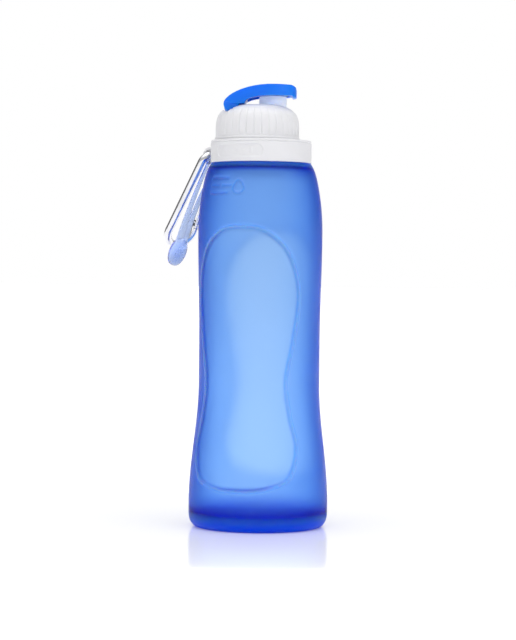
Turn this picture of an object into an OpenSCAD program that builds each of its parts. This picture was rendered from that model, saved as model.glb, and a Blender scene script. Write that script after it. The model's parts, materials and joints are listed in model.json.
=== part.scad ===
// Folding water bottle: a soft silicone bottle that rolls up, with a clamped plastic neck,
// a screw cap with a flip-top spout, a spring-gate hook and a soft closing strap.
// Millimetres, +Z up, origin at the centre of the base, grip panel facing -Y.

/* [Silicone body] */
// Height of the underside of the collar above the base
shoulder_top = 185.5; // [180:0.5:190]
// Radius of the flat base
base_r = 31; // [29:0.5:32]
// Largest radius, just above the base
belly_r = 35.5; // [34:0.5:36]
// Smallest radius, at the waist
waist_r = 30.8; // [30:0.2:31.5]
// Radius where the shoulder starts
shoulder_r = 31.7; // [31:0.1:32.5]
// Wall thickness of the silicone
wall = 2.2; // [1.8:0.1:2.6]
// Thickness of the base
base_t = 4.5; // [3:0.5:6]

/* [Neck and collar] */
// Outer radius of the collar
collar_r = 25.7; // [25.5:0.1:27]
// Height of the collar
collar_h = 11.5; // [11:0.1:12]
// Distance from the bottle's axis to the neck's axis
neck_shift = 2; // [0:0.1:2]
// Bore radius of the threaded neck
mouth_r = 15.5; // [14:0.1:15.5]
// Outer radius of the threaded neck
neck_r = 17.6; // [17.5:0.1:17.7]
// Pitch of the screw thread
pitch = 5; // [4.6:0.1:5.4]

/* [Cap] */
// Outer radius of the cap's skirt
cap_r = 21.3; // [21.2:0.1:22]
// Height of the cap's top above the collar
cap_h = 18; // [18:0.1:19]
// Number of grip grooves round the skirt
cap_grooves = 34; // [24:1:40]

/* [Spout and lid] */
// Outer radius of the spout
spout_r = 7; // [6.8:0.1:7.2]
// Bore radius of the spout
bore_r = 4; // [3.8:0.1:4.2]
// Distance from the cap's axis to the spout's axis
spout_x = 7.8; // [7.5:0.1:7.9]
// Distance from the cap's axis to the lid's hinge
hinge_x = 13.4; // [13.3:0.1:13.6]
// Width of the lid
lid_w = 22; // [21:0.5:23]

/* [Hook and strap] */
// Radius of the hook's wire
wire_r = 2.1; // [1.9:0.05:2.15]
// Lean of the hook away from the body
hook_lean = 32; // [30:1:34]
// Distance between the hook's top and bottom bends
hook_len = 40.65; // [38:0.5:44]
// Thickness of the strap
strap_t = 1.3; // [1.1:0.1:1.4]
// Width of each strap leg
strap_w = 3.4; // [3:0.1:4]

/* [Hidden] */
$fn = 96;
eps = 0.01;     // overlap that keeps cuts clean
snug = 0.05;    // gap between pieces that are assembled face to face

// Levels
collar_top = shoulder_top + collar_h;
lip_z = collar_top + 11.6;           // sealing lip of the neck
plate_z = lip_z + 1.45;              // underside of the cap's top plate
cap_top = collar_top + cap_h;
spout_top = cap_top + 4.4;

// Clocking about +Z
lid_angle = 17;                      // the lid points this way from the hinge
badge_angle = -101.5;                // middle of the collar's blank recess
loop_angle = 150;                    // the collar's belt loop faces this way

// Cuff of silicone clamped between the neck and the collar
cuff_in = 18;
cuff_out = 22;
cuff_top = collar_top - 1.8;

// Belt loop on the collar, in its own frame: x away from the bottle, y along the collar
loop_y = 7.5;
loop_x = 30.5;                        // centre of the loop's round end
loop_z = shoulder_top + 4.5;
loop_r = 4.4;
loop_hole_r = 2.95;
loop_w = 3.2;
strap_x = 26.5;                      // the strap passes between the hook and the collar

// Hinge of the lid, in the cap's frame
hinge_z = cap_top - 0.1;
barrel_r = 3.9;
knuckle_r = 3.3;
knuckle_w = 9.4;
pin_r = 1;
pin_l = 17;

// Hook, in its own plane: x across, y from the top bend down to the bottom bend
hang = 0.4;                          // the wire's apex is this far past the pivot
bend_r = 5;                          // top bend, at the wire's centre
foot_r = 8.85;                       // bottom bend, at the wire's centre
bend_c = [0.8, bend_r - hang];
foot_c = [1.65, bend_c[1] + hook_len];
side_a = atan((foot_c[0] - bend_c[0]) / hook_len);
side_l = norm(foot_c - bend_c);
flare_a = asin((foot_r - bend_r) / side_l);
run_l = side_l * cos(flare_a);       // length of each straight side
gate_tilt = side_a + flare_a;        // the gate's side leans this much from the hook's length
spine_tilt = side_a - flare_a;
rivet_s = 5.2;                       // distances along the gate's side from the top bend
latch_s = run_l - 3.2;
gate_r = wire_r;
tongue_t = 1.6;
rivet_r = 0.9;

// Strap
strap_angle = 174;                   // the strap leans this way
strap_lean = 23;
strap_run = 49.3;                     // length of the legs
leg_shift = 1.0;                     // offset of the legs, which keeps them clear of the loop
tab_w = 9.4;
tab_l = 15;
tab_t = 3;
tab_turn = 50;                       // the strap twists this much on its way down

// ---------- helpers ----------
function blend(a, b, t) = a + (b - a) * (1 - cos(180 * t)) / 2;

// Radius of the bottle's outside at height z
belly_z = 12;
waist_z = 74;
waist_end = 95;
shoulder_z = 150;
edge_h = 7;
function side_radius(z) =
    z < edge_h ? belly_r - (belly_r - base_r) * (1 - sqrt(1 - pow((edge_h - z) / edge_h, 2)))
    : z < belly_z ? belly_r
    : z < waist_z ? blend(belly_r, waist_r, (z - belly_z) / (waist_z - belly_z))
    : z < waist_end ? waist_r
    : z < shoulder_z ? blend(waist_r, shoulder_r, (z - waist_end) / (shoulder_z - waist_end))
    : let (u = (z - shoulder_z) / (shoulder_top - shoulder_z)) shoulder_r - 5 * u * u - 1.4 * pow(u, 12);

edge_steps = [for (a = [0:15:75]) edge_h * (1 - cos(a))];
side_steps = concat(edge_steps, [for (z = [8:8:144]) z], [for (z = [150:5:175]) z], [179, 182, 184]);

module neck_axis() translate([-neck_shift * cos(lid_angle), -neck_shift * sin(lid_angle), 0]) children();
module cap_frame() neck_axis() rotate(lid_angle) children();
module loop_frame() rotate(loop_angle) translate([0, loop_y, loop_z]) children();
module hook_plane() loop_frame() translate([loop_x, 0, 0]) rotate([hook_lean - 90, 0, -90]) children();
// Along the gate's side: x outward, y from the top bend to the bottom bend
module gate_side() hook_plane() translate(bend_c) rotate(-gate_tilt) translate([bend_r, 0, 0]) children();
module spine_side() hook_plane() translate(bend_c) rotate(-spine_tilt) translate([-bend_r, 0, 0]) children();
module along_y(l, r) rotate([-90, 0, 0]) cylinder(h = l, r = r);
module strap_foot() loop_frame() translate([strap_x, 0, 0]) rotate(strap_angle - loop_angle)
    rotate([0, 180 - strap_lean, 0]) children();

module ring(r_out, r_in, z_low, z_high) translate([0, 0, z_low]) difference() {
    cylinder(h = z_high - z_low, r = r_out);
    translate([0, 0, -1]) cylinder(h = z_high - z_low + 2, r = r_in);
}

// Trapezoid thread ridge: root radius, crest radius, height of its start, start angle, turns
ridge_step = 15;
module ridge(root, crest, z_start, a_start, turns) {
    rings = round(turns * 360 / ridge_step);
    function fade(i) = min(1, i / 3, (rings - i) / 3);
    function at(i, r, dz) = let (a = a_start + i * ridge_step)
        [r * cos(a), r * sin(a), z_start + pitch * i * ridge_step / 360 + dz];
    function crest_at(i) = root + (crest - root) * (0.12 + 0.88 * fade(i));
    points = [for (i = [0:rings]) each
        [at(i, root, -1), at(i, crest_at(i), -0.5), at(i, crest_at(i), 0.5), at(i, root, 1)]];
    sides = [for (i = [0:rings - 1], k = [0:3])
        [4 * i + k, 4 * i + (k + 1) % 4, 4 * i + 4 + (k + 1) % 4, 4 * i + 4 + k]];
    ends = [[3, 2, 1, 0], [for (k = [0:3]) 4 * rings + k]];
    faces = concat(sides, ends);
    polyhedron(points, crest > root ? faces : [for (f = faces) [for (k = [len(f) - 1:-1:0]) f[k]]]);
}

// ---------- bottle ----------
module silicone_body() color([0.16, 0.42, 0.88]) {
    difference() {
        rotate_extrude() polygon(concat([[0, 0]], [for (z = side_steps) [side_radius(z), z]],
            [[side_radius(shoulder_top), shoulder_top - snug], [0, shoulder_top - snug]]));
        rotate_extrude() polygon(concat([[0, base_t], [base_r - 4, base_t]],
            [for (z = side_steps) if (z > base_t + 3 && z < 182) [side_radius(z) - wall, z]],
            [[side_radius(182) - wall - 0.4, shoulder_top - wall - snug], [0, shoulder_top - wall - snug]]));
        neck_axis() translate([0, 0, shoulder_z]) cylinder(h = 60, r = cuff_in + snug);
    }
    neck_axis() ring(cuff_out - snug, cuff_in + snug, shoulder_top - wall - snug, cuff_top - snug);
}

module neck_insert() color([0.93, 0.93, 0.94]) neck_axis() {
    ring(cuff_in, mouth_r, shoulder_top - 4.5, collar_top + snug);
    // barb under the silicone shoulder
    ring(20.3, mouth_r, shoulder_top - 4.5, shoulder_top - wall - 2 * snug);
    // snap flange over the collar
    ring(19.3, mouth_r, collar_top + snug, collar_top + 1.2);
    ring(neck_r, mouth_r, collar_top + 1, lip_z);
    ridge(neck_r - 0.3, 18.9, collar_top + 3.2, 0, 1.1);
}

module badge_cut() {
    half = 23.5;
    r = 3.1;
    z = shoulder_top + 5.6;
    rotate(badge_angle - half) rotate_extrude(angle = 2 * half)
        translate([collar_r - 0.5, z - r]) square([2, 2 * r]);
    for (side = [-half, half]) rotate(badge_angle + side)
        translate([collar_r - 0.6, 0, z]) rotate([0, 90, 0]) cylinder(h = 3, r = r);
}

module neck_collar() color([0.94, 0.94, 0.95]) difference() {
    union() {
        rotate_extrude() polygon([[0, shoulder_top], [collar_r + 0.1, shoulder_top],
            [collar_r, shoulder_top + 4], [collar_r - 0.1, collar_top - 1.3], [collar_r - 0.4, collar_top - 1.15],
            [collar_r - 0.4, collar_top - 0.95], [collar_r - 0.1, collar_top - 0.8],
            [collar_r - 0.6, collar_top], [0, collar_top]]);
        // belt loop
        loop_frame() rotate([90, 0, 0]) translate([0, 0, -loop_w / 2]) linear_extrude(loop_w) {
            translate([loop_x, 0]) circle(loop_r);
            translate([23.2, -loop_r]) square([loop_x - 23.2, 2 * loop_r]);
        }
    }
    neck_axis() translate([0, 0, shoulder_top - 8]) cylinder(h = cuff_top - shoulder_top + 8, r = cuff_out);
    neck_axis() translate([0, 0, shoulder_top - 8]) cylinder(h = 40, r = cuff_in + snug);
    loop_frame() rotate([90, 0, 0]) translate([0, 0, -loop_w]) linear_extrude(2 * loop_w) {
        translate([loop_x, 0]) circle(loop_hole_r);
        translate([24.9, -loop_hole_r]) square([loop_x - 24.9, 2 * loop_hole_r]);
    }
    badge_cut();
}

// ---------- cap ----------
module cap_gasket() color([0.85, 0.87, 0.9]) neck_axis() ring(18.2, 14.95, lip_z + snug, plate_z - snug);

module screw_cap() color([0.95, 0.95, 0.96]) cap_frame() {
    skirt_z = collar_top + 0.3;
    difference() {
        rotate_extrude() polygon([[0, skirt_z], [cap_r + 0.4, skirt_z], [cap_r + 0.4, skirt_z + 1],
            [cap_r, skirt_z + 1.3], [cap_r, collar_top + 8.2], [cap_r - 0.4, collar_top + 11],
            [cap_r - 1, collar_top + 12.6], [cap_r - 1.8, collar_top + 14], [cap_r - 3.3, collar_top + 15.4],
            [cap_r - 5, collar_top + 16.5], [cap_r - 7.5, collar_top + 17.5], [9, cap_top], [0, cap_top]]);
        // thread room, stepped in to hold the gasket
        translate([0, 0, -1]) rotate_extrude() polygon([[0, skirt_z], [19.6, skirt_z], [19.6, collar_top + 9.2],
            [18.4, collar_top + 12], [18.4, plate_z + 1], [0, plate_z + 1]]);
        // grip grooves
        for (k = [0:cap_grooves - 1]) rotate(k * 360 / cap_grooves)
            translate([cap_r + 0.25, 0, skirt_z + 2.2]) cylinder(h = 30, r = 0.65);
        // room for the lid's barrel
        translate([-hinge_x, lid_w / 2 + 0.6, hinge_z]) rotate([90, 0, 0]) cylinder(h = lid_w + 1.2, r = barrel_r + 0.25);
        // room for the lid's back as it swings over
        translate([-hinge_x - 0.6, lid_w / 2 + 0.6, hinge_z + 0.3]) rotate([90, 0, 0])
            cylinder(h = lid_w + 1.2, r = barrel_r + 0.6);
        // seat of the spout
        translate([spout_x, 0, 0]) {
            translate([0, 0, plate_z + 2.2]) cylinder(h = 20, r = spout_r + snug);
            cylinder(h = 250, r = 5.6);
        }
    }
    // hinge knuckle that holds the pin
    difference() {
        translate([-hinge_x, knuckle_w / 2, hinge_z]) rotate([90, 0, 0]) cylinder(h = knuckle_w, r = knuckle_r);
        translate([-hinge_x, knuckle_w, hinge_z]) rotate([90, 0, 0]) cylinder(h = 2 * knuckle_w, r = pin_r);
    }
    translate([-hinge_x, -knuckle_w / 2, plate_z]) difference() {
        translate([-1.8, 0, 0.3]) cube([3.6, knuckle_w, 2.4]);
        translate([0, -1, hinge_z - plate_z]) rotate([-90, 0, 0]) cylinder(h = knuckle_w + 2, r = knuckle_r - 0.4);
    }
    rotate(-lid_angle) ridge(19.9, 18, collar_top + 3.2 - 1.75 + pitch * 75 / 360, 75, 1.08);
}

module drinking_spout() color([0.86, 0.9, 0.97]) cap_frame() translate([spout_x, 0, 0]) difference() {
    union() {
        translate([0, 0, plate_z + 2.2 + eps]) cylinder(h = spout_top - plate_z - 2.2 - eps, r = spout_r);
        translate([0, 0, plate_z - 1]) cylinder(h = 5, r = 5.55);
        // snap bead under the plate
        translate([0, 0, plate_z - 1.2]) cylinder(h = 1.15, r = 6.2);
    }
    cylinder(h = 250, r = bore_r);
}

// ---------- lid ----------
function bezier(a, b, c, d, t) =
    pow(1 - t, 3) * a + 3 * pow(1 - t, 2) * t * b + 3 * (1 - t) * t * t * c + t * t * t * d;

lid_low = spout_top + 0.1;           // underside over the spout
lid_high = lid_low + 5.7;
lid_back = [-hinge_x - 3.6, hinge_z + 1.5];
lid_end = spout_x + lid_w / 2 + 1.1;

module lid_profile() polygon(concat(
    [for (t = [0:0.1:1]) bezier(lid_back, [-14.6, hinge_z + 6], [-4, lid_high + 0.4], [9, lid_high], t)],
    [[lid_end - 2.6, lid_high - 0.1], [lid_end - 0.6, lid_high - 1], [lid_end, lid_high - 2.6],
     [lid_end, lid_low - 1], [lid_end - 1.8, lid_low - 1], [lid_end - 2.4, lid_low], [8, lid_low]],
    [for (t = [0.25:0.25:1]) bezier([8, lid_low], [2, lid_low], [-3, lid_low - 0.8], [-5.8, hinge_z + 2.1], t)],
    [[-6.6, hinge_z + 0.4], [-hinge_x, hinge_z]]));

module across(w) rotate([90, 0, 0]) translate([0, 0, -w / 2]) linear_extrude(w) children();

module flip_lid() color([0.12, 0.4, 0.9]) cap_frame() difference() {
    union() {
        intersection() {
            across(lid_w + 4) lid_profile();
            translate([0, 0, lid_low - 20]) linear_extrude(60) union() {
                translate([spout_x, 0]) circle(lid_end - spout_x);
                polygon([[-30, -lid_w / 2], [spout_x, -lid_end + spout_x], [spout_x, lid_end - spout_x],
                         [-30, lid_w / 2]]);
            }
        }
        translate([-hinge_x, 0, hinge_z]) rotate([90, 0, 0])
            translate([0, 0, -lid_w / 2]) cylinder(h = lid_w, r = barrel_r);
    }
    // room for the knuckle, and the pin's bore
    translate([-hinge_x, 0, hinge_z]) rotate([90, 0, 0]) {
        translate([0, 0, -knuckle_w / 2 - 0.25]) cylinder(h = knuckle_w + 0.5, r = knuckle_r + 0.3);
        translate([0, 0, -pin_l / 2 - snug]) cylinder(h = pin_l + 2 * snug, r = pin_r + snug);
    }
    // notch that clears the knuckle's foot as the lid swings over
    translate([-hinge_x, 0, hinge_z]) across(knuckle_w + 0.5)
        polygon([[0, 0], [-6, 6.6], [-9, 6.6], [-9, -6], [3.2, -6], [3.2, 0]]);
    // channel under the lid
    translate([-5.2, -lid_w / 2 + 3.4, lid_low - 8]) cube([spout_x + 5.2, lid_w - 6.8, 11]);
    translate([spout_x, 0, lid_low - 8]) cylinder(h = 11, r = lid_w / 2 - 1.6);
}

module lid_plug() color([0.1, 0.35, 0.85]) cap_frame() translate([spout_x, 0, 0]) {
    translate([0, 0, spout_top - 3.1]) cylinder(h = 3.1, r1 = bore_r - 0.8, r2 = bore_r - 0.1);
    translate([0, 0, spout_top + snug - eps]) cylinder(h = 3.05, r = 7.6);
    translate([0, 0, spout_top - eps]) cylinder(h = 1, r = bore_r - 0.1);
}

module lid_hinge_pin() color("silver") cap_frame()
    translate([-hinge_x, 0, hinge_z]) rotate([90, 0, 0]) cylinder(h = pin_l, r = pin_r, center = true);

// ---------- hook ----------
module wire_arc(r, a_start, a_span) rotate_extrude(angle = a_span, start = a_start)
    translate([r, 0]) circle(wire_r, $fn = 48);

// Straight wire along a side, a hair thinner and longer than the gap that it fills between bends
module straight(from, to) translate([0, from - 0.3, 0]) along_y(to - from + 0.6, wire_r - 0.02);

// Flat tongue cut from the wire, between two distances along the gate's side
module tongue(from, to) intersection() {
    translate([0, from, 0]) along_y(to - from, wire_r - 0.1);
    translate([-wire_r, from, -tongue_t / 2]) cube([2 * wire_r, to - from, tongue_t]);
}

module carabiner_frame() color([0.75, 0.76, 0.78]) {
    hinge_wire = rivet_s - 2.7;
    nose_wire = latch_s + 2.5;
    hook_plane() translate(bend_c) wire_arc(bend_r, 180 - side_a + flare_a, 180 - 2 * flare_a);
    spine_side() straight(0, run_l);
    hook_plane() translate(foot_c) wire_arc(foot_r, -side_a - flare_a, 180 + 2 * flare_a);
    gate_side() straight(0, hinge_wire);
    gate_side() straight(nose_wire, run_l);
    // hinge tongue, with the rivet's bore
    gate_side() difference() {
        union() {
            tongue(hinge_wire - 1, rivet_s);
            translate([0, rivet_s, -tongue_t / 2]) cylinder(h = tongue_t, r = wire_r - 0.25);
        }
        translate([0, rivet_s, -5]) cylinder(h = 10, r = rivet_r + snug);
    }
    // nose, with the notch that the latch pin drops into from inside the hook
    gate_side() difference() {
        tongue(latch_s - 1.7, nose_wire + 1);
        translate([0, latch_s, -5]) cylinder(h = 10, r = rivet_r + 0.15);
        translate([-5, latch_s - rivet_r - 0.15, -5]) cube([5, 2 * rivet_r + 0.3, 10]);
    }
}

module carabiner_gate() color([0.72, 0.73, 0.75]) gate_side() difference() {
    intersection() {
        translate([0, rivet_s - gate_r, 0]) along_y(latch_s + 1.9 - rivet_s + gate_r, gate_r);
        union() {
            translate([0, rivet_s, -5]) cylinder(h = 10, r = gate_r);
            translate([-5, rivet_s, -5]) cube([10, latch_s, 10]);
        }
    }
    translate([0, rivet_s + 3, 0]) along_y(latch_s, gate_r - 0.8);
    translate([-5, 0, -tongue_t / 2 - 0.15]) cube([10, rivet_s + 2.8, tongue_t + 0.3]);
    translate([-5, latch_s - 2.6, -tongue_t / 2 - 0.15]) cube([10, 10, tongue_t + 0.3]);
    for (s = [rivet_s, latch_s]) translate([0, s, -5]) cylinder(h = 10, r = rivet_r);
}

module gate_pin(s) gate_side() translate([0, s, -gate_r + 0.15]) cylinder(h = 2 * gate_r - 0.3, r = rivet_r);
module gate_rivet() color([0.6, 0.6, 0.62]) gate_pin(rivet_s);
module gate_latch_pin() color([0.6, 0.6, 0.62]) gate_pin(latch_s);

// Close-wound spring in the gate, pressing on the hinge tongue
module gate_spring() color([0.5, 0.5, 0.52]) gate_side() translate([0, rivet_s + 3.1, 0]) rotate([-90, 0, 0])
    rotate_extrude() polygon(concat([[0.6, 0]],
        [for (k = [0:6]) each [[1, k], [1.2, k + 0.5]]], [[1, 7], [0.6, 7]]));

// ---------- strap ----------
module strap_leg(side) hull() {
    loop_frame() translate([strap_x, side * (loop_w / 2 + 2.1) - leg_shift, 0])
        cube([strap_t, 2.2, strap_w], center = true);
    strap_foot() translate([0, 0, strap_run - 3]) rotate(tab_turn)
        translate([0, side * (strap_w / 2 + 0.3), 0]) cube([strap_t, strap_w, 4], center = true);
}

module carry_strap() color([0.72, 0.8, 0.97]) union() {
    loop_frame() translate([strap_x, -leg_shift, 0]) rotate([90, 0, 0])
        cylinder(h = loop_w + 4.6, r = strap_t / 2, center = true);
    strap_leg(-1);
    strap_leg(1);
    // pull tab
    strap_foot() translate([0, 0, strap_run + tab_l / 2 - 2.5]) rotate(tab_turn)
        hull() scale([tab_t / tab_l, tab_w / tab_l, 1]) sphere(d = tab_l, $fn = 28);
}

silicone_body();
neck_insert();
neck_collar();
cap_gasket();
screw_cap();
drinking_spout();
flip_lid();
lid_plug();
lid_hinge_pin();
carabiner_frame();
carabiner_gate();
gate_rivet();
gate_latch_pin();
gate_spring();
carry_strap();
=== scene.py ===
"""Looks of the folding water bottle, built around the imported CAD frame."""
import json
import math

import bmesh
import bpy
import numpy as np
from mathutils import Matrix, Vector


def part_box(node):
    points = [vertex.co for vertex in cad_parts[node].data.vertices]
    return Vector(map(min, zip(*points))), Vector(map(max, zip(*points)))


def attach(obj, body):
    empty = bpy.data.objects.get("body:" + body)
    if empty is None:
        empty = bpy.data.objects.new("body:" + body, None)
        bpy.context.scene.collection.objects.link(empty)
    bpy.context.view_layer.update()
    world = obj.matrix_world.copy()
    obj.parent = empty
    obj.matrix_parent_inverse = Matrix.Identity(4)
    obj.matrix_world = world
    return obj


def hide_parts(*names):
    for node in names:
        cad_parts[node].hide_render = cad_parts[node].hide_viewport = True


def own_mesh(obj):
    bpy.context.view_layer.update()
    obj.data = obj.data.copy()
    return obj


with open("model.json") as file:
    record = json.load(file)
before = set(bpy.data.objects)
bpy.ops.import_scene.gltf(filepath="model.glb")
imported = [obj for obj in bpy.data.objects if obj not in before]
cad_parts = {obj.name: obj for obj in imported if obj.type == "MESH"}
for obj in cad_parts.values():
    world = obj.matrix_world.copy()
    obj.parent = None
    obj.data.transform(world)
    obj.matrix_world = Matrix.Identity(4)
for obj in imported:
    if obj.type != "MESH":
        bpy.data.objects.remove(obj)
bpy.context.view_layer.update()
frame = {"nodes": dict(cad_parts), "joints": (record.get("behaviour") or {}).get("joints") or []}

MM = 0.001


def mm_box(node):
    """Lowest and highest corners of a CAD node, in millimetres."""
    low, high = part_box(node)
    return np.array(low) / MM, np.array(high) / MM


def pivot_mm(name):
    """A joint's pivot, in millimetres."""
    joint = next(j for j in frame["joints"] if j["name"] == name)
    return np.array(joint["pos_m"]) / MM


# ---------- places, from the frame ----------
# the neck insert starts this far under the shoulder
INSERT_DEPTH = 4.5
SHOULDER = mm_box("neck_insert")[0][2] + INSERT_DEPTH
COLLAR_TOP = mm_box("neck_collar")[1][2]
SKIRT = mm_box("screw_cap")[0][2]
BODY_R = mm_box("silicone_body")[1][0]
CUFF_TOP = mm_box("silicone_body")[1][2]
SPOUT_LOW = mm_box("drinking_spout")[0][2]
SPOUT_TOP = mm_box("drinking_spout")[1][2]
NECK_AXIS = pivot_mm("cap_turn")[:2]
HINGE = pivot_mm("lid_open")
HOOK_PIVOT = pivot_mm("hook_swing")
STRAP_PIVOT = pivot_mm("strap_swing")
LID_ANGLE = math.atan2(-NECK_AXIS[1], -NECK_AXIS[0])

# ---------- sizes as in the CAD model, in millimetres ----------
WALL = 2.2
BASE_T = 4.5
CUFF_IN = 18.05
CUFF_OUT = 21.95
PITCH = 5.0
SPOUT_X = 7.8
SPOUT_R = 7.0
BORE_R = 4.0


# ---------- mesh helpers ----------
def smoothstep(low, high, x):
    """0 at low, 1 at high, with a soft start and end."""
    t = np.clip((x - low) / (high - low), 0, 1)
    return t * t * (3 - 2 * t)


def blend(a, b, t):
    """Half a cosine wave from a to b as t goes from 0 to 1."""
    return a + (b - a) * (1 - np.cos(math.pi * t)) / 2


def make_object(name, verts, faces):
    """A smooth-shaded mesh object from vertices in millimetres."""
    mesh = bpy.data.meshes.new(name)
    mesh.from_pydata((np.asarray(verts, float) * MM).tolist(), [], faces)
    mesh.validate()
    mesh.polygons.foreach_set("use_smooth", [True] * len(mesh.polygons))
    obj = bpy.data.objects.new(name, mesh)
    bpy.context.scene.collection.objects.link(obj)
    return obj


def tube_faces(rows, cols, close_rows=False):
    """Quads between rings of vertices. With close_rows the last ring joins the first."""
    faces = []
    for i in range(rows if close_rows else rows - 1):
        a = i * cols
        b = (i + 1) % rows * cols
        faces += [(a + j, a + (j + 1) % cols, b + (j + 1) % cols, b + j) for j in range(cols)]
    return faces


def end_faces(count, cols):
    """Flat caps on the first and last ring of a tube of count rings."""
    last = (count - 1) * cols
    return [tuple(range(cols)), tuple(reversed(range(last, last + cols)))]


def column_angles(cols):
    """Evenly spaced angles round a full turn."""
    return np.arange(cols) * 2 * math.pi / cols


def ring(angles, r, z, centre=(0, 0)):
    """Vertices round an axis. The radius and the height are numbers, or have a value per angle."""
    x = centre[0] + r * np.cos(angles)
    y = centre[1] + r * np.sin(angles)
    return np.stack([x, y, np.broadcast_to(z, angles.shape)], 1)


def apply_modifiers(obj):
    """Bakes an object's modifiers into its mesh."""
    depsgraph = bpy.context.evaluated_depsgraph_get()
    mesh = bpy.data.meshes.new_from_object(obj.evaluated_get(depsgraph))
    obj.modifiers.clear()
    obj.data = mesh
    return obj


def boolean(obj, other, operation):
    """Joins or cuts obj with another object, which is then deleted."""
    mod = obj.modifiers.new(operation, "BOOLEAN")
    mod.operation = operation
    mod.object = other
    mod.solver = "EXACT"
    bpy.context.view_layer.update()
    apply_modifiers(obj)
    bpy.data.objects.remove(other)
    return obj


def melt(obj, voxel, passes):
    """Voxel remesh and smoothing: joins what overlaps and rounds its edges."""
    mod = obj.modifiers.new("remesh", "REMESH")
    mod.mode = "VOXEL"
    mod.voxel_size = voxel * MM
    mod.use_smooth_shade = True
    mod = obj.modifiers.new("smooth", "SMOOTH")
    mod.factor = 0.5
    mod.iterations = passes
    return apply_modifiers(obj)


def fix_normals(obj):
    """Turns every face of a closed mesh outward."""
    made = bmesh.new()
    made.from_mesh(obj.data)
    bmesh.ops.recalc_face_normals(made, faces=made.faces)
    made.to_mesh(obj.data)
    made.free()
    return obj


def merge(a, b):
    """Adds the mesh of b to a."""
    made = bmesh.new()
    made.from_mesh(a.data)
    made.from_mesh(b.data)
    made.to_mesh(a.data)
    made.free()
    bpy.data.objects.remove(b)
    return a


def lathe(name, profile, cols, centre):
    """A closed ring of revolution from a closed profile of (radius, height) points."""
    angles = column_angles(cols)
    verts = np.concatenate([ring(angles, r, z, centre) for r, z in profile])
    return make_object(name, verts, tube_faces(len(profile), cols, close_rows=True))


def unit(v):
    """The vector v at length 1."""
    return v / np.linalg.norm(v)


def arc(cx, cz, r, a0, a1, steps=6):
    """Points along an arc, in degrees."""
    return [(cx + r * math.cos(math.radians(a)), cz + r * math.sin(math.radians(a)))
            for a in np.linspace(a0, a1, steps)]


def rounded_section(half_x, half_y, corner, steps):
    """Outline of a rectangle with round corners."""
    section = []
    for sx, sy, start in [(1, 1, 0), (-1, 1, 90), (-1, -1, 180), (1, -1, 270)]:
        section += arc(sx * (half_x - corner), sy * (half_y - corner), corner, start, start + 90, steps)
    return section


def wrapped(angle):
    """An angle brought between minus and plus half a turn."""
    return (angle + math.pi) % (2 * math.pi) - math.pi


def capsule_distance(x, y, half, r):
    """Distance outside a pill shape that lies along x."""
    return np.hypot(np.maximum(np.abs(x) - half, 0), y) - r


# ---------- material helpers ----------
def material(name, **values):
    """A Principled material, with its sockets set by name."""
    mat = bpy.data.materials.new(name)
    mat.use_nodes = True
    shader = mat.node_tree.nodes["Principled BSDF"]
    for key, value in values.items():
        shader.inputs[key.replace("_", " ")].default_value = value
    return mat, mat.node_tree, shader


def node(tree, kind, values=(), **settings):
    """A new shader node, with its input values and its settings."""
    made = tree.nodes.new(kind)
    for key, value in settings.items():
        setattr(made, key, value)
    for key, value in dict(values).items():
        made.inputs[key].default_value = value
    return made


def add_bump(tree, shader, height, strength, distance):
    """Fine surface grain from a height."""
    bump = node(tree, "ShaderNodeBump", {"Strength": strength, "Distance": distance})
    tree.links.new(height, bump.inputs["Height"])
    tree.links.new(bump.outputs["Normal"], shader.inputs["Normal"])


def noise(tree, scale, detail):
    """Noise fixed to the object."""
    coords = node(tree, "ShaderNodeTexCoord")
    made = node(tree, "ShaderNodeTexNoise", {"Scale": scale, "Detail": detail, "Roughness": 0.5})
    tree.links.new(coords.outputs["Object"], made.inputs["Vector"])
    return made.outputs["Fac"]


def ramp(tree, source, stops):
    """A colour ramp from (position, colour) stops."""
    made = node(tree, "ShaderNodeValToRGB")
    made.color_ramp.elements.remove(made.color_ramp.elements[1])
    for i, (at, colour) in enumerate(stops):
        stop = made.color_ramp.elements[0] if i == 0 else made.color_ramp.elements.new(at)
        stop.position = at
        stop.color = colour
    tree.links.new(source, made.inputs["Fac"])
    return made.outputs["Color"]


def absorb(tree, colour, density):
    """Colour that deepens with the distance light goes through the material."""
    volume = node(tree, "ShaderNodeVolumeAbsorption", {"Color": (*colour, 1), "Density": density})
    tree.links.new(volume.outputs["Volume"], tree.nodes["Material Output"].inputs["Volume"])


def vary(tree, shader, socket, source, low, high):
    """Lets a socket vary with a noise between two values."""
    spread = {"From Min": 0.3, "From Max": 0.7, "To Min": low, "To Max": high}
    made = node(tree, "ShaderNodeMapRange", spread)
    tree.links.new(source, made.inputs["Value"])
    tree.links.new(made.outputs["Result"], shader.inputs[socket])


def multiply(tree, a, b, **settings):
    """The product of a socket and either another socket or a number."""
    made = node(tree, "ShaderNodeMath", operation="MULTIPLY", **settings)
    tree.links.new(a, made.inputs[0])
    if isinstance(b, float):
        made.inputs[1].default_value = b
    else:
        tree.links.new(b, made.inputs[1])
    return made.outputs["Value"]


def height_fac(tree, low, high):
    """0 below one height on the model and 1 above another, in millimetres."""
    split = node(tree, "ShaderNodeSeparateXYZ")
    tree.links.new(node(tree, "ShaderNodeTexCoord").outputs["Object"], split.inputs[0])
    made = node(tree, "ShaderNodeMapRange", {"From Min": low * MM, "From Max": high * MM},
                interpolation_type="SMOOTHSTEP")
    tree.links.new(split.outputs["Z"], made.inputs["Value"])
    return made.outputs["Result"]


# ---------- materials ----------
# pigment is dense below the base band, in the thick base; at the very top of the body it is made dense
# too, partly for the thick clamped silicone and partly as painted light that lifts the collar's shade to a
# deep blue
BASE_BAND = (2, 12)
TOP_BAND = (186.5, 180)
# painted highlight on the ridges: the share of transmission that they give up for a paler blue, so that
# they read as lit lines
RIM_PAINTED_SHARE = 0.25
RIM_PAINTED_HIGHLIGHT = (0.42, 0.7, 1.0, 1)
RIM_GLOSS = 0.7


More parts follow.
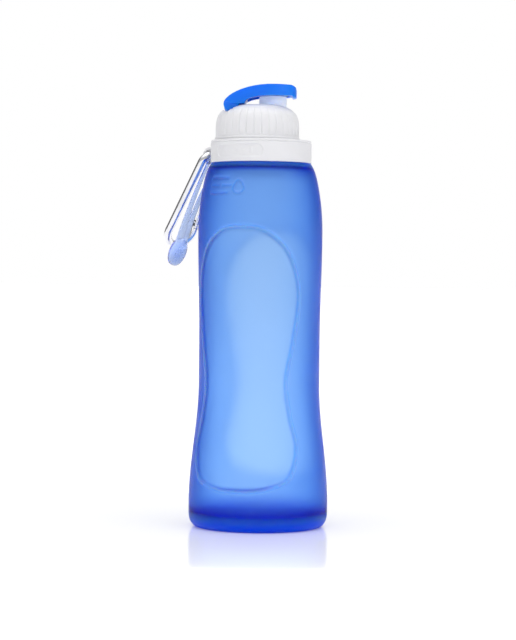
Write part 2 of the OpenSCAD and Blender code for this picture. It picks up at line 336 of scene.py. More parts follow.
def blue_silicone():
    """Clear frosted walls, over a thick base that is dense with pigment."""
    mat, tree, shader = material("blue_silicone", IOR=1.22, Subsurface_Weight=1.0,
                                 Subsurface_Radius=(0.0005, 0.002, 0.01), Subsurface_Scale=0.8,
                                 Coat_Roughness=0.12)
    absorb(tree, (0.03, 0.5, 0.965), 410)
    # at the top this band is partly painted light: a lighter, denser blue where the collar's shade falls
    rise = multiply(tree, height_fac(tree, *BASE_BAND), height_fac(tree, *TOP_BAND))
    pigment = [(0.0, (0.0, 0.085, 0.92, 1)), (0.6, (0.04, 0.3, 1, 1)), (1.0, (1, 1, 1, 1))]
    tint = ramp(tree, rise, pigment)
    clear = node(tree, "ShaderNodeMapRange", {"From Max": 0.65, "To Min": 0.25, "To Max": 1.0})
    tree.links.new(rise, clear.inputs["Value"])
    # painted highlight: the moulded ridges and the mark get a paler blue with less transmission, which
    # paints them lighter than the wall; the coat on them is real gloss
    ridge_highlight = node(tree, "ShaderNodeAttribute", attribute_name="ridge_highlight").outputs["Fac"]
    ridge = node(tree, "ShaderNodeMix", {7: RIM_PAINTED_HIGHLIGHT}, data_type="RGBA")
    tree.links.new(multiply(tree, ridge_highlight, 4.0, use_clamp=True), ridge.inputs["Factor"])
    tree.links.new(tint, ridge.inputs[6])
    tree.links.new(ridge.outputs[2], shader.inputs["Base Color"])
    milky = node(tree, "ShaderNodeMath", {1: -RIM_PAINTED_SHARE, 2: 1.0}, operation="MULTIPLY_ADD")
    tree.links.new(ridge_highlight, milky.inputs[0])
    through = multiply(tree, clear.outputs["Result"], milky.outputs["Value"])
    tree.links.new(through, shader.inputs["Transmission Weight"])
    tree.links.new(multiply(tree, ridge_highlight, RIM_GLOSS), shader.inputs["Coat Weight"])
    vary(tree, shader, "Roughness", noise(tree, 60, 3), 0.36, 0.46)
    add_bump(tree, shader, noise(tree, 900, 4), 0.08, 0.0002)
    return mat


def white_plastic():
    """Collar, cap and neck."""
    mat, tree, shader = material("white_plastic", IOR=1.49, Subsurface_Weight=0.25,
                                 Subsurface_Radius=(0.004, 0.004, 0.0045), Subsurface_Scale=0.3)
    whites = [(0.3, (0.74, 0.74, 0.76, 1)), (0.7, (0.78, 0.78, 0.79, 1))]
    tint = ramp(tree, noise(tree, 45, 3), whites)
    tree.links.new(tint, shader.inputs["Base Color"])
    vary(tree, shader, "Roughness", noise(tree, 120, 3), 0.36, 0.48)
    add_bump(tree, shader, noise(tree, 2200, 2), 0.05, 0.0001)
    return mat


def frosted_plastic():
    """The spout. Its faint emission stands for light that reaches it through the milky cap."""
    mat, tree, shader = material("frosted_plastic", Base_Color=(0.93, 0.96, 1, 1), IOR=1.25,
                                 Transmission_Weight=0.45, Subsurface_Weight=0.8,
                                 Subsurface_Radius=(0.004, 0.005, 0.008), Subsurface_Scale=1.0,
                                 Emission_Color=(0.6, 0.72, 1, 1), Emission_Strength=0.16)
    vary(tree, shader, "Roughness", noise(tree, 90, 3), 0.3, 0.42)
    add_bump(tree, shader, noise(tree, 1800, 2), 0.05, 0.0001)
    return mat


def blue_plastic():
    """The lid."""
    mat, tree, shader = material("blue_plastic", IOR=1.35, Transmission_Weight=0.12,
                                 Subsurface_Weight=0.8, Subsurface_Radius=(0.001, 0.004, 0.012),
                                 Subsurface_Scale=0.5, Coat_Weight=0.05, Coat_Roughness=0.2)
    blues = [(0.3, (0.0, 0.19, 0.92, 1)), (0.7, (0.005, 0.22, 0.97, 1))]
    tint = ramp(tree, noise(tree, 40, 3), blues)
    tree.links.new(tint, shader.inputs["Base Color"])
    vary(tree, shader, "Roughness", noise(tree, 110, 3), 0.26, 0.36)
    add_bump(tree, shader, noise(tree, 1500, 2), 0.05, 0.0001)
    return mat


def polished_metal():
    """The hook's wire and its gate."""
    mat, tree, shader = material("polished_metal", Metallic=1.0)
    greys = [(0.3, (0.70, 0.70, 0.71, 1)), (0.7, (0.80, 0.80, 0.82, 1))]
    tint = ramp(tree, noise(tree, 150, 3), greys)
    tree.links.new(tint, shader.inputs["Base Color"])
    vary(tree, shader, "Roughness", noise(tree, 400, 4), 0.1, 0.2)
    add_bump(tree, shader, noise(tree, 700, 3), 0.04, 0.0001)
    return mat


def pale_silicone():
    """The strap."""
    mat, tree, shader = material("pale_silicone", Base_Color=(0.93, 0.96, 1, 1), IOR=1.41,
                                 Transmission_Weight=0.9)
    absorb(tree, (0.3, 0.55, 1.0), 500)
    vary(tree, shader, "Roughness", noise(tree, 90, 3), 0.2, 0.32)
    add_bump(tree, shader, noise(tree, 900, 3), 0.1, 0.0002)
    return mat


def pin_steel():
    """Pins, rivet and spring."""
    mat, tree, shader = material("pin_steel", Metallic=1.0, Base_Color=(0.6, 0.6, 0.62, 1))
    vary(tree, shader, "Roughness", noise(tree, 300, 3), 0.22, 0.36)
    return mat


def soft_plug():
    """The plug under the lid."""
    mat, tree, shader = material("soft_plug", Base_Color=(0.45, 0.66, 1.0, 1), IOR=1.3,
                                 Transmission_Weight=0.7)
    vary(tree, shader, "Roughness", noise(tree, 200, 3), 0.45, 0.6)
    return mat


def seal_rubber():
    """The seal under the cap's top."""
    mat, tree, shader = material("seal_rubber", Base_Color=(0.8, 0.82, 0.85, 1),
                                 Subsurface_Weight=0.3)
    vary(tree, shader, "Roughness", noise(tree, 200, 3), 0.4, 0.55)
    return mat


# ---------- camera, floor and lights; lengths in metres ----------
CAMERA_DISTANCE = 1.1
CAMERA_HEIGHT = 0.133
CAMERA_AZIMUTH = math.radians(17)
CAMERA_ROLL = math.radians(0.55)
CAMERA_LENS = 121
AIM_HEIGHT = 0.1055
AIM_LEFT = 0.0008
FLOOR_HALF = 12.0
FLOOR_DROP = 0.00002
TOWARD = Vector((math.sin(CAMERA_AZIMUTH), -math.cos(CAMERA_AZIMUTH), 0))
RIGHT = Vector((math.cos(CAMERA_AZIMUTH), math.sin(CAMERA_AZIMUTH), 0))
UP = Vector((0, 0, 1))
# grey of the surroundings, from straight behind the camera (0) to straight ahead (1), from the left
# (0) to the right (1), and from below (0) to above (1)
WALLS = [(0.0, 0.66), (0.2, 0.72), (0.45, 0.56), (0.6, 0.12), (0.87, 0.08), (0.94, 0.86)]
SIDES = [(0.0, 0.84), (1.0, 0.88)]
CEILING = [(0.5, 0.0), (0.75, 0.04), (0.92, 1.15), (1.0, 1.95)]


def grey(stops):
    """Ramp stops of slightly cool grey."""
    return [(at, (v, v, v * 1.01, 1)) for at, v in stops]


def surroundings():
    """Light from all round, which the camera itself sees as plain white."""
    world = bpy.data.worlds.new("studio")
    bpy.context.scene.world = world
    world.use_nodes = True
    tree = world.node_tree
    coords = node(tree, "ShaderNodeTexCoord").outputs["Generated"]

    def toward_fac(direction):
        """How far a direction of the surroundings lies along a vector, from 0 to 1."""
        made = node(tree, "ShaderNodeVectorMath", {1: direction}, operation="DOT_PRODUCT")
        tree.links.new(coords, made.inputs[0])
        scaled = node(tree, "ShaderNodeMath", {1: 0.5, 2: 0.5}, operation="MULTIPLY_ADD")
        tree.links.new(made.outputs["Value"], scaled.inputs[0])
        return scaled.outputs["Value"]

    def combine(a, b, operation):
        """Two colours multiplied or added."""
        made = node(tree, "ShaderNodeMix", {"Factor": 1}, data_type="RGBA", blend_type=operation)
        tree.links.new(a, made.inputs[6])
        tree.links.new(b, made.inputs[7])
        return made.outputs[2]

    # bright behind the bottle, dark flags beside that, soft walls to the sides, dim behind the camera
    round_about = ramp(tree, toward_fac(-TOWARD), grey(WALLS))
    left_right = ramp(tree, toward_fac(RIGHT), grey(SIDES))
    overhead = ramp(tree, toward_fac(UP), grey(CEILING))
    lit = combine(combine(round_about, left_right, "MULTIPLY"), overhead, "ADD")
    path = node(tree, "ShaderNodeLightPath")
    seen = node(tree, "ShaderNodeMix", {7: (1, 1, 1, 1)}, data_type="RGBA")
    tree.links.new(path.outputs["Is Camera Ray"], seen.inputs["Factor"])
    tree.links.new(lit, seen.inputs[6])
    tree.links.new(seen.outputs[2], tree.nodes["Background"].inputs["Color"])


def camera():
    """A long lens, a little above the bottle's middle."""
    cam = bpy.data.cameras.new("camera")
    cam.sensor_fit = "AUTO"
    cam.sensor_width = 36
    cam.lens = CAMERA_LENS
    cam.clip_end = 20
    eye = bpy.data.objects.new("camera", cam)
    bpy.context.scene.collection.objects.link(eye)
    eye.location = TOWARD * CAMERA_DISTANCE + UP * CAMERA_HEIGHT
    aim = RIGHT * -AIM_LEFT + UP * AIM_HEIGHT
    look = (aim - eye.location).to_track_quat("-Z", "Y").to_matrix()
    eye.rotation_euler = (look @ Matrix.Rotation(CAMERA_ROLL, 3, "Z")).to_euler()
    bpy.context.scene.camera = eye


def glossy_floor():
    """A white floor, whose gloss fades out away from the bottle."""
    corners = [(-1, -1), (1, -1), (1, 1), (-1, 1)]
    verts = [(x * FLOOR_HALF / MM, y * FLOOR_HALF / MM, -FLOOR_DROP / MM) for x, y in corners]
    floor = make_object("floor", verts, [(0, 1, 2, 3)])
    mat, tree, shader = material("floor", Base_Color=(0.98, 0.98, 0.98, 1), Roughness=0.14, IOR=1.5,
                                 Emission_Color=(1, 1, 1, 1), Emission_Strength=0.12)
    reach = node(tree, "ShaderNodeVectorMath", operation="LENGTH")
    tree.links.new(node(tree, "ShaderNodeTexCoord").outputs["Object"], reach.inputs[0])
    fade = {"From Min": 0.04, "From Max": 0.16, "To Min": 0.75, "To Max": 0.0}
    gloss = node(tree, "ShaderNodeMapRange", fade)
    tree.links.new(reach.outputs["Value"], gloss.inputs["Value"])
    tree.links.new(gloss.outputs["Result"], shader.inputs["Specular IOR Level"])
    floor.data.materials.append(mat)


def key_lamp():
    """A tall soft lamp in front, from the right."""
    light = bpy.data.lights.new("key", "AREA")
    light.shape = "RECTANGLE"
    light.size = 0.35
    light.size_y = 0.7
    light.energy = 0.8
    lamp = bpy.data.objects.new("key", light)
    bpy.context.scene.collection.objects.link(lamp)
    lamp.location = RIGHT * 0.8 + TOWARD * 0.75 + UP * 0.45
    aim = UP * 0.1
    lamp.rotation_euler = (aim - lamp.location).to_track_quat("-Z", "Y").to_euler()


def studio():
    bpy.context.scene.view_settings.view_transform = "Standard"
    surroundings()
    camera()
    glossy_floor()
    key_lamp()


# ---------- silicone body ----------
EDGE_H = 7
BELLY_Z = 12
WAIST_Z = 74
WAIST_END = 95
SHOULDER_Z = 150
BASE_R = 31.0
WAIST_R = 30.8
SHOULDER_R = 31.7
# inside, the wall rounds over into the shoulder's roof from here
SIDE_TOP = 182
FILLET_H = 8.0
# underside, a shallow dish inside the foot ring: radius and height
FOOT = [(2, 0.7), (8, 0.7), (16, 0.66), (21, 0.55), (23, 0.35), (24.5, 0.1), (25.5, 0), (28.5, 0),
        (30.4, 0.01)]
# half outline of the grip panel: distance round the body from its middle, and height
PANEL = [(0, 153), (13, 150.5), (25, 139), (30.8, 120), (27.6, 97), (23.4, 76), (26, 58), (30.4, 42),
         (26, 27), (13, 21.5), (0, 20.5)]
# generic capacity mark: plain bars, as (x, z, half length, radius) pills, beside a drop
MARK_BARS = [(-3.5, 4.2, 5.6, 0.55), (-6.2, 0.4, 2.6, 0.55), (1.6, 0.4, 2.6, 0.55),
             (-3.5, -3.4, 5.6, 0.55)]
MARK_ANGLE = math.radians(-111)
MARK_Z = 173
MARK_R = 29.5
DROP_X = 8.2
DROP_Z = -0.6
DROP_R = 3.0
DROP_H = 5.2


def side_radius(z):
    """The bottle's outer radius at height z, as in the CAD model."""
    z = np.asarray(z, float)
    edge = BODY_R - (BODY_R - BASE_R) * (1 - np.sqrt(np.clip(1 - ((EDGE_H - z) / EDGE_H) ** 2, 0, 1)))
    lower = blend(BODY_R, WAIST_R, (z - BELLY_Z) / (WAIST_Z - BELLY_Z))
    upper = blend(WAIST_R, SHOULDER_R, (z - WAIST_END) / (SHOULDER_Z - WAIST_END))
    u = (z - SHOULDER_Z) / (SHOULDER - SHOULDER_Z)
    shoulder = SHOULDER_R - 5 * u * u - 1.4 * u ** 12
    return np.select([z < EDGE_H, z < BELLY_Z, z < WAIST_Z, z < WAIST_END, z < SHOULDER_Z],
                     [edge, BODY_R, lower, WAIST_R, upper], shoulder)


def smooth_loop(points, steps=10):
    """Closed Catmull-Rom curve through points."""
    p = np.array(points, float)
    out = []
    for i in range(len(p)):
        a, b, c, d = (p[(i + k - 1) % len(p)] for k in range(4))
        for t in np.arange(steps) / steps:
            out.append(0.5 * (2 * b + (c - a) * t + (2 * a - 5 * b + 4 * c - d) * t * t
                              + (3 * b - a - 3 * c + d) * t ** 3))
    return np.array(out)


def signed_distance(x, y, loop):
    """Distance from points to a closed loop, negative inside."""
    best = np.full(x.shape, 1e9)
    inside = np.zeros(x.shape, bool)
    for (x0, y0), (x1, y1) in zip(loop, np.roll(loop, -1, axis=0)):
        dx = x1 - x0
        dy = y1 - y0
        t = np.clip(((x - x0) * dx + (y - y0) * dy) / (dx * dx + dy * dy + 1e-12), 0, 1)
        best = np.minimum(best, np.hypot(x - x0 - t * dx, y - y0 - t * dy))
        crosses = (y0 > y) != (y1 > y)
        at = x0 + (y - y0) * dx / (dy if abs(dy) > 1e-12 else 1e-12)
        inside ^= crosses & (x < at)
    return np.where(inside, -best, best)


def panel_relief(turn, z):
    """Height of the panel's bead and recess at an angle from its middle."""
    loop = smooth_loop(PANEL + [(-x, y) for x, y in PANEL[-2:0:-1]])
    d = signed_distance(turn * side_radius(z), z, loop)
    bead = 0.5 * np.exp(-(d / 0.8) ** 2)
    recess = -0.7 * smoothstep(-0.2, -2.4, d)
    # the second value marks the bead, which is painted lighter as a highlight
    return bead + recess, np.exp(-((d + 0.3) / 0.75) ** 2)


def mark_relief(angle, z):
    """Raised drop and bars beside each other, high on the front left."""
    x = wrapped(angle - MARK_ANGLE) * MARK_R
    y = z - MARK_Z
    height = np.zeros(x.shape)
    for cx, cy, half, r in MARK_BARS:
        height = np.maximum(height, smoothstep(0.35, -0.2, capsule_distance(x - cx, y - cy, half, r)))
    dx = x - DROP_X
    dy = y - DROP_Z
    taper = np.clip((dy + 0.5) / DROP_H, 0, 1)
    drop = np.abs(np.hypot(dx, np.where(dy > 0, dy * 0.35, dy)) - DROP_R * np.sqrt(1 - taper))
    outline = np.where(dy < 5, drop, 9)
    return 0.45 * np.maximum(height, smoothstep(0.8, 0.25, outline))


def side_rings(angles):
    """Outside of the wall with its panels and mark, and how much of a ridge each vertex is, for the
    painted highlight.
    """
    front = wrapped(angles + math.pi / 2)
    rear = wrapped(angles - math.pi / 2)
    edge = EDGE_H * (1 - np.cos(np.radians(np.arange(6, 90, 7))))
    side = np.arange(EDGE_H + 0.4, SIDE_TOP, 0.62)
    rings = []
    rims = []
    for z in np.concatenate([edge, side, np.linspace(SIDE_TOP, SHOULDER - 0.05, 9)]):
        zs = np.full(len(angles), float(z))
        front_relief, front_rim = panel_relief(front, zs)
        rear_relief, rear_rim = panel_relief(rear, zs)
        mark = mark_relief(angles, zs)
        relief = front_relief + rear_relief + mark
        relief *= smoothstep(12, 18, z) * smoothstep(184, 180, z)
        rings.append(ring(angles, side_radius(zs) + relief, zs))
        # the mark takes half of the ridges' painted highlight
        rims.append(front_rim + rear_rim + 0.5 * mark)
    return rings, rims


def inner_rings(angles):
    """Roof of the shoulder, the clamped cuff, and the inside down to the floor."""
    roof = SHOULDER - 0.05
    ceiling = SHOULDER - WALL
    cuff = [(CUFF_OUT + 0.3, roof), (CUFF_OUT, roof + 0.3), (CUFF_OUT, CUFF_TOP - 0.4),
            (CUFF_OUT - 0.4, CUFF_TOP), (CUFF_IN + 0.4, CUFF_TOP), (CUFF_IN, CUFF_TOP - 0.4),
            (CUFF_IN, ceiling + 0.4), (CUFF_IN + 0.5, ceiling)]
    corner = 3
    inside = arc(float(side_radius(SIDE_TOP)) - WALL - corner, ceiling - corner, corner, 90, 10, 5)
    inside += [(side_radius(z) - WALL, z) for z in np.arange(178, BASE_T + FILLET_H, -3.0)]
    for a in np.radians(np.arange(0, 90, 10)):
        z = BASE_T + FILLET_H * (1 - math.sin(a))
        inside.append((side_radius(z) - WALL - 7 * (1 - math.cos(a)), z))
    inside += [(r, BASE_T) for r in (24, 16, 8, 2)]
    rings = [ring(angles, 25.2, roof)]
    rings += [ring(angles, r, z, NECK_AXIS) for r, z in cuff]
    return rings + [ring(angles, r, z) for r, z in inside]


def silicone_body():
    cols = 360
    angles = column_angles(cols) - math.pi
    side, rims = side_rings(angles)
    rings = [ring(angles, r, z) for r, z in FOOT] + side + inner_rings(angles)
    count = len(rings)
    verts = np.concatenate(rings + [[(0, 0, FOOT[0][1]), (0, 0, BASE_T)]])
    # fans close the underside and the floor inside
    under = count * cols
    inside = under + 1
    last = (count - 1) * cols
    faces = tube_faces(count, cols)
    faces += [(under, (j + 1) % cols, j) for j in range(cols)]
    faces += [(inside, last + j, last + (j + 1) % cols) for j in range(cols)]
    body = make_object("silicone_body_skin", verts, faces)
    # where the ridges and the mark are painted lighter, as a highlight
    ridge_highlight = np.zeros(len(verts))
    first = len(FOOT) * cols
    ridge_highlight[first:first + len(rims) * cols] = np.concatenate(rims)
    body.data.attributes.new("ridge_highlight", "FLOAT", "POINT").data.foreach_set("value", ridge_highlight)
    body.data.materials.append(blue_silicone())
    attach(body, "bottle")
    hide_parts("silicone_body")
    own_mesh(body)


# ---------- collar ----------
COLLAR_R = 25.7
BADGE_ANGLE = math.radians(-101.5)
BADGE_HALF = math.radians(23.5) * COLLAR_R
BADGE_R = 3.1
BADGE_RISE = 5.6
# plain bars in the recess: place, half width and half height
BADGE_BARS = [(-8.2, 0.3, 1.2), (-6.2, 0.3, 1.2), (-3.6, 1.1, 0.3), (0.4, 1.1, 0.3), (4.4, 1.1, 0.3),
              (7.6, 0.3, 1.2)]
# belt loop in its own frame: x away from the bottle, y along the collar
LOOP_ANGLE = math.radians(150)
LOOP_X = 30.5
LOOP_Y = 7.5
LOOP_OUT = 4.4
LOOP_IN = 2.95
LOOP_W = 3.2
LOOP_ROOT = 24.0


def badge_relief(angle, z):
    """A pill-shaped recess with plain raised bars in it."""
    x = wrapped(angle - BADGE_ANGLE) * COLLAR_R
    y = z - (SHOULDER + BADGE_RISE)
    pill = smoothstep(0.25, -0.25, capsule_distance(x, y, BADGE_HALF, BADGE_R))
    bars = np.zeros(x.shape)
    for cx, wide, tall in BADGE_BARS:
        reach = np.hypot(np.maximum(np.abs(x - cx) - wide, 0), np.maximum(np.abs(y) - tall, 0))
        bars = np.maximum(bars, smoothstep(0.5, 0.15, reach))
    return -0.42 * pill + 0.16 * bars


def belt_loop():
    """The collar's lug: a rounded band swept round a half circle, with its ends inside the collar."""
    mid = (LOOP_OUT + LOOP_IN) / 2
    half = (LOOP_OUT - LOOP_IN) / 2
    steps = 25
    turns = np.linspace(90, -90, steps)
    bend = [(x, z, a) for (x, z), a in zip(arc(LOOP_X, 0, mid, 90, -90, steps), turns)]
    path = [(LOOP_ROOT, mid, 90)] + bend + [(LOOP_ROOT, -mid, -90)]
    section = rounded_section(half, LOOP_W / 2, 0.5, 5)
    out = np.array([math.cos(LOOP_ANGLE), math.sin(LOOP_ANGLE), 0])
    along = np.array([-math.sin(LOOP_ANGLE), math.cos(LOOP_ANGLE), 0])
    verts = []
    for x, z, a in path:
        for depth, side in section:
            px = x + depth * math.cos(math.radians(a))
            pz = z + depth * math.sin(math.radians(a))
            verts.append(out * px + along * (LOOP_Y + side) + (0, 0, HOOK_PIVOT[2] + pz))
    count = len(section)
    faces = tube_faces(len(path), count) + end_faces(len(path), count)
    return fix_normals(make_object("belt_loop", verts, faces))


def neck_collar():
    cols = 720
    angles = column_angles(cols)
    low = SHOULDER
    high = COLLAR_TOP
    wall_r = COLLAR_R + 0.08
    outside = [(22.9, low + 0.02), (24.8, low + 0.02)] + arc(25.3, low + 0.5, 0.5, 270, 360, 5)
    outside += [(wall_r, z) for z in np.arange(low + 0.9, high - 1.6, 0.2)]
    # fine line below the top edge, then the rounded edge
    outside += [(25.6, high - 1.5), (25.34, high - 1.38), (25.3, high - 1.25), (25.5, high - 1.12)]
    outside += arc(25.0, high - 0.62, 0.6, 0, 90, 6) + [(23.6, high)]
    rings = []
    for r, z in outside:
        relief = badge_relief(angles, np.full(cols, z)) if r > COLLAR_R else 0
        rings.append(ring(angles, r + relief, z))
    room = CUFF_OUT + 0.05
    inside = [(CUFF_IN + 0.35, high), (CUFF_IN, high - 0.3), (CUFF_IN, CUFF_TOP + 0.05),
              (room, CUFF_TOP + 0.05), (room, low + 0.3), (CUFF_OUT + 0.3, low + 0.02)]
    rings += [ring(angles, r, z, NECK_AXIS) for r, z in inside]
    faces = tube_faces(len(rings), cols, close_rows=True)
    collar = fix_normals(make_object("collar", np.concatenate(rings), faces))
    return boolean(collar, belt_loop(), "UNION")


# ---------- cap ----------
RIBS = 34
RIB_COLS = 14
CAP_R = 21.3
CAP_TOP = COLLAR_TOP + 18.0
PLATE = COLLAR_TOP + 13.05
PLATE_T = 2.2
BARREL_X = -float(np.hypot(*(HINGE[:2] - NECK_AXIS)))
LID_ROOM = 23.2
KNUCKLE_W = 9.4
STEM_HOLE_R = 5.6
SHARP = 0.01
# bead at the skirt's foot: radius, and height above its underside
BEAD = [(20.6, 0), (21.4, 0), (21.68, 0.12), (21.72, 0.4), (21.7, 0.9), (21.55, 1.15), (21.36, 1.35),
        (CAP_R, 1.6)]
# dome: radius, and height above the collar
DOME = [(21.2, 8.4), (21.05, 9.4), (20.85, 10.4), (20.6, 11.3), (20.3, 12.1), (19.95, 12.9),
        (19.45, 13.6), (18.8, 14.4), (18.0, 15.1), (17.2, 15.7), (16.3, 16.3), (15.3, 16.8),
        (14.2, 17.25), (12.8, 17.6), (10.8, 17.9)]


def place(obj):
    """Moves a mesh from the cap's own frame to the shared one."""
    obj.data.transform(Matrix.Translation((NECK_AXIS[0] * MM, NECK_AXIS[1] * MM, 0))
                       @ Matrix.Rotation(LID_ANGLE, 4, "Z"))
    return obj


def rod(name, r, length, centre, axis="z", chamfer=0.25):
    """A round bar along z or y, with chamfered ends."""
    cols = 64
    end = length / 2
    profile = [(r - chamfer, -end), (r, -end + chamfer), (r, end - chamfer), (r - chamfer, end)]
    verts = []
    for radius, h in profile:
        for a in column_angles(cols):
            u = radius * math.cos(a)
            v = radius * math.sin(a)
            local = (u, v, h) if axis == "z" else (u, h, v)
            verts.append([centre[k] + local[k] for k in range(3)])
    faces = tube_faces(len(profile), cols) + end_faces(len(profile), cols)
    return fix_normals(make_object(name, verts, faces))


def thread_ridge(root, crest, z_start, turns, start):
    """A helical ridge that fades at both ends."""
    steps = 72
    fade_steps = 8
    count = round(turns * steps)
    verts = []
    for i in range(count + 1):
        a = start + i * 2 * math.pi / steps
        fade = min(1, i / fade_steps, (count - i) / fade_steps)
        top = root + (crest - root) * (0.08 + 0.92 * fade)
        z = z_start + PITCH * i / steps
        for r, dz in ((root, -1.0), (top, -0.5), (top, 0.5), (root, 1.0)):
            verts.append((NECK_AXIS[0] + r * math.cos(a), NECK_AXIS[1] + r * math.sin(a), z + dz))
    faces = tube_faces(count + 1, 4) + end_faces(count + 1, 4)
    return fix_normals(make_object("ridge", verts, faces))


def grooved_ring(angles, r, z, low):
    """A ring of the cap's outside, pulled in at each grip groove."""
    phase = (angles * RIBS / (2 * math.pi) + 0.5) % 1 - 0.5
    across = phase * 2 * math.pi * r / RIBS
    groove = np.exp(-(across / (0.42 * r / CAP_R)) ** 2)
    depth = 0.5 * groove - 0.06 * np.cos(phase * 2 * math.pi) - 0.06
    reach = smoothstep(low + 1.9, low + 2.7, z) * smoothstep(15.2, 18.2, r)
    pull = np.maximum(depth, -0.02) * reach
    tilt = smoothstep(20.6, 17.0, r)
    return ring(angles, r - pull * (1 - 0.6 * tilt), z - pull * 0.8 * tilt)


def cap_shell():
    """The domed cap before the lid, the spout and the thread are let into it."""
    cols = RIBS * RIB_COLS
    angles = column_angles(cols)
    low = SKIRT - 0.15
    outside = [(r, low + z) for r, z in BEAD]
    outside += [(CAP_R, z) for z in np.arange(low + 1.9, low + 3.9, 0.2)]
    outside += [(CAP_R, z) for z in np.arange(low + 4.4, COLLAR_TOP + 7.6, 0.8)]
    outside += [(r, COLLAR_TOP + z) for r, z in DOME] + [(8, CAP_TOP - 0.01), (5, CAP_TOP)]
    inner = [(5, PLATE), (18.0, PLATE), (18.4, PLATE - 0.4), (18.4, COLLAR_TOP + 12),
             (19.6, COLLAR_TOP + 9.2), (19.6, low + 0.5), (20.0, low)]
    rings = [grooved_ring(angles, r, z, low) for r, z in outside]
    rings += [ring(angles, r, z) for r, z in inner]
    count = len(rings)
    verts = np.concatenate(rings + [[(0, 0, CAP_TOP), (0, 0, PLATE)]])
    # the row between the dome and the underside becomes two closed centres
    top = (len(outside) - 1) * cols
    under = len(outside) * cols
    centre = count * cols
    faces = [f for f in tube_faces(count, cols, close_rows=True) if not top <= f[0] < top + cols]
    faces += [(top + j, top + (j + 1) % cols, centre) for j in range(cols)]
    faces += [(under + (j + 1) % cols, under + j, centre + 1) for j in range(cols)]
    return fix_normals(make_object("cap_shell", verts, faces))


def screw_cap():
    cap = cap_shell()
    hinge_z = HINGE[2]
    # room for the lid's barrel, and for its back as it swings open
    room = rod("room", 4.15, LID_ROOM, (BARREL_X, 0, hinge_z), axis="y", chamfer=SHARP)
    boolean(cap, room, "DIFFERENCE")
    swing = rod("swing", 4.5, LID_ROOM, (BARREL_X - 0.6, 0, hinge_z + 0.3), axis="y", chamfer=SHARP)
    boolean(cap, swing, "DIFFERENCE")
    boolean(cap, rod("foot", 1.8, KNUCKLE_W, (BARREL_X, 0, hinge_z - 3.4), axis="y"), "UNION")
    seat_h = 20
    seat_z = PLATE + PLATE_T + seat_h / 2
    seat = rod("seat", SPOUT_R + 0.05, seat_h, (SPOUT_X, 0, seat_z), chamfer=SHARP)
    boolean(cap, seat, "DIFFERENCE")
    boolean(cap, rod("hole", STEM_HOLE_R, 60, (SPOUT_X, 0, PLATE), chamfer=SHARP), "DIFFERENCE")
    boolean(cap, rod("knuckle", 3.3, KNUCKLE_W, (BARREL_X, 0, hinge_z), axis="y"), "UNION")
    place(cap)
    ridge_start = 75
    ridge_z = COLLAR_TOP + 1.45 + PITCH * ridge_start / 360
    ridge = thread_ridge(19.8, 18.0, ridge_z, 1.08, math.radians(ridge_start))
    return boolean(cap, ridge, "UNION")


# ---------- spout and lid ----------
STEM_R = 5.55
FLANGE_R = 6.2
LIP_R = 0.7


def drinking_spout():
    """A tube with a rounded lip, a stem through the cap's plate and a flange under it."""
    seat = PLATE + PLATE_T + 0.01
    under = PLATE - 0.05
    lip_z = SPOUT_TOP - LIP_R
    profile = [(BORE_R, SPOUT_LOW), (BORE_R, lip_z)]
    profile += arc(BORE_R + LIP_R, lip_z, LIP_R, 180, 90, 6) + arc(SPOUT_R - LIP_R, lip_z, LIP_R, 90, 0, 6)
    profile += [(SPOUT_R, SPOUT_TOP - 2.2), (SPOUT_R, seat + 0.1), (SPOUT_R - 0.1, seat)]
    profile += [(STEM_R, seat), (STEM_R, under), (FLANGE_R, under), (FLANGE_R, PLATE - 0.7)]
    profile += [(5.7, SPOUT_LOW)]
    return place(fix_normals(lathe("spout", profile, 128, (SPOUT_X, 0))))


def flip_lid():
    """The CAD lid with every edge rounded over."""
    source = frame["nodes"]["flip_lid"]
    mesh = source.data.copy()
    mesh.transform(source.matrix_world)
    lid = bpy.data.objects.new("lid_shell", mesh)
    bpy.context.scene.collection.objects.link(lid)
    lid.data.materials.clear()
    return melt(lid, 0.22, 9)


# ---------- strap ----------
STRAP_LEAN = math.radians(23)
STRAP_HEADING = math.radians(174)
STRAP_TWIST = math.radians(50)
STRAP_RUN = 49.3
# the band's middle is this far off the middle of the belt loop
STRAP_SHIFT = 1.0
LEG_SPREAD = 3.7
BRIDGE_HALF = 4.3
TAB_HALF_L = 7.5
TAB_HALF_W = 4.7
TAB_HALF_T = 1.45


def band(name, points, thicks, wides):
    """A rounded strip swept along points, with its thickness and width vectors at each."""
    section = rounded_section(0.65, 1.65, 0.4, 4)
    verts = []
    for p, u, v in zip(points, thicks, wides):
        verts += [p + a * u + b * v for a, b in section]
    count = len(section)
    faces = tube_faces(len(points), count) + end_faces(len(points), count)
    return fix_normals(make_object(name, verts, faces))


def pull_tab(centre, down, wide, thick):
    """A flattened oval, as full at its low end as at its top."""
    verts = []
    rows = 20
    cols = 32
    for i in range(rows + 1):
        lat = math.pi * i / rows - math.pi / 2
        h = TAB_HALF_L * math.sin(lat)
        full = max(math.cos(lat), 0.02) ** 0.8
        for a in column_angles(cols):
            across = wide * TAB_HALF_W * full * math.cos(a)
            through = thick * TAB_HALF_T * full * math.sin(a)
            verts.append(centre + down * h + across + through)
    faces = tube_faces(rows + 1, cols) + end_faces(rows + 1, cols)
    return fix_normals(make_object("tab", verts, faces))


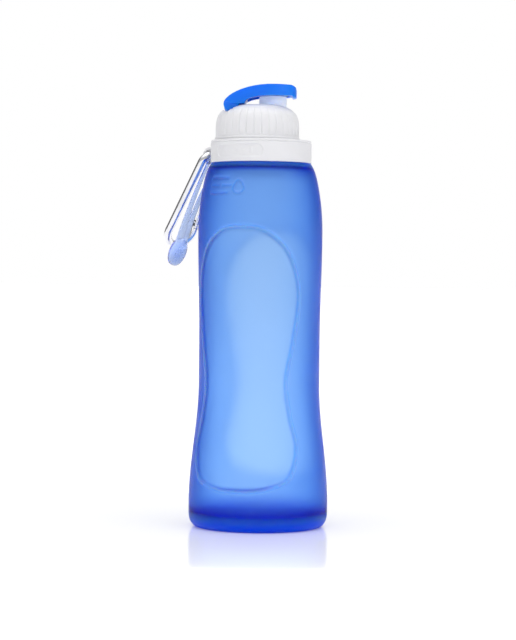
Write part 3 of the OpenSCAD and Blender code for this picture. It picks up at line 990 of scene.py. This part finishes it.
def carry_strap():
    """A band through the belt loop whose two legs run down to a pull tab."""
    top = np.array(STRAP_PIVOT)
    out = np.array([math.cos(LOOP_ANGLE), math.sin(LOOP_ANGLE), 0])
    along = np.array([-math.sin(LOOP_ANGLE), math.cos(LOOP_ANGLE), 0])
    up = np.array([0, 0, 1.0])
    heading = np.array([math.cos(STRAP_HEADING), math.sin(STRAP_HEADING), 0])
    down = math.sin(STRAP_LEAN) * heading - math.cos(STRAP_LEAN) * up
    side = np.array([-math.sin(STRAP_HEADING), math.cos(STRAP_HEADING), 0])
    flat = np.cross(side, down)
    wide = math.cos(STRAP_TWIST) * side - math.sin(STRAP_TWIST) * flat
    thick = math.sin(STRAP_TWIST) * side + math.cos(STRAP_TWIST) * flat
    steps = np.linspace(0, 1, 28)
    turn = smoothstep(0, 0.9, steps)
    # each leg starts along the lug and twists into the tab's plane
    thicks = [unit((1 - k) * out - k * thick) for k in turn]
    wides = [unit((1 - k) * along + k * wide) * (0.62 + 0.26 * k) for k in turn]
    legs = []
    for hand in (-1, 1):
        start = top + along * (hand * LEG_SPREAD - STRAP_SHIFT)
        knee = top + down * STRAP_RUN * 0.5 + wide * hand * 1.0 + out * 3.5
        foot = top + down * (STRAP_RUN + 1) + wide * hand * 1.75
        points = [(1 - t) ** 2 * start + 2 * t * (1 - t) * knee + t * t * foot for t in steps]
        legs.append(band("leg", points, thicks, wides))
    strap = merge(*legs)
    span = [top + along * (y - STRAP_SHIFT) for y in np.linspace(-BRIDGE_HALF, BRIDGE_HALF, 8)]
    merge(strap, band("bridge", span, [out] * 8, [up] * 8))
    merge(strap, pull_tab(top + down * (STRAP_RUN + 5.0), down, wide, thick))
    return melt(strap, 0.24, 8)


# ---------- assembly ----------
studio()
silicone_body()

WHITE = white_plastic()
METAL = polished_metal()
STEEL = pin_steel()
# skins that take the place of CAD nodes: mesh, node, body and material
SKINS = [
    (neck_collar(), "neck_collar", "neck", WHITE),
    (screw_cap(), "screw_cap", "cap", WHITE),
    (drinking_spout(), "drinking_spout", "cap", frosted_plastic()),
    (flip_lid(), "flip_lid", "lid", blue_plastic()),
    (carry_strap(), "carry_strap", "strap", pale_silicone()),
]
for made, node_name, body, mat in SKINS:
    made.name = node_name + "_skin"
    made.data.materials.clear()
    made.data.materials.append(mat)
    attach(made, body)
    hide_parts(node_name)

# CAD nodes that stay as they are and only take a material
KEPT = {
    "neck_insert": WHITE,
    "lid_plug": soft_plug(),
    "cap_gasket": seal_rubber(),
    "carabiner_frame": METAL,
    "carabiner_gate": METAL,
    "gate_rivet": STEEL,
    "gate_latch_pin": STEEL,
    "lid_hinge_pin": STEEL,
    "gate_spring": STEEL,
}
for name, mat in KEPT.items():
    for slot in frame["nodes"][name].material_slots:
        slot.material = mat
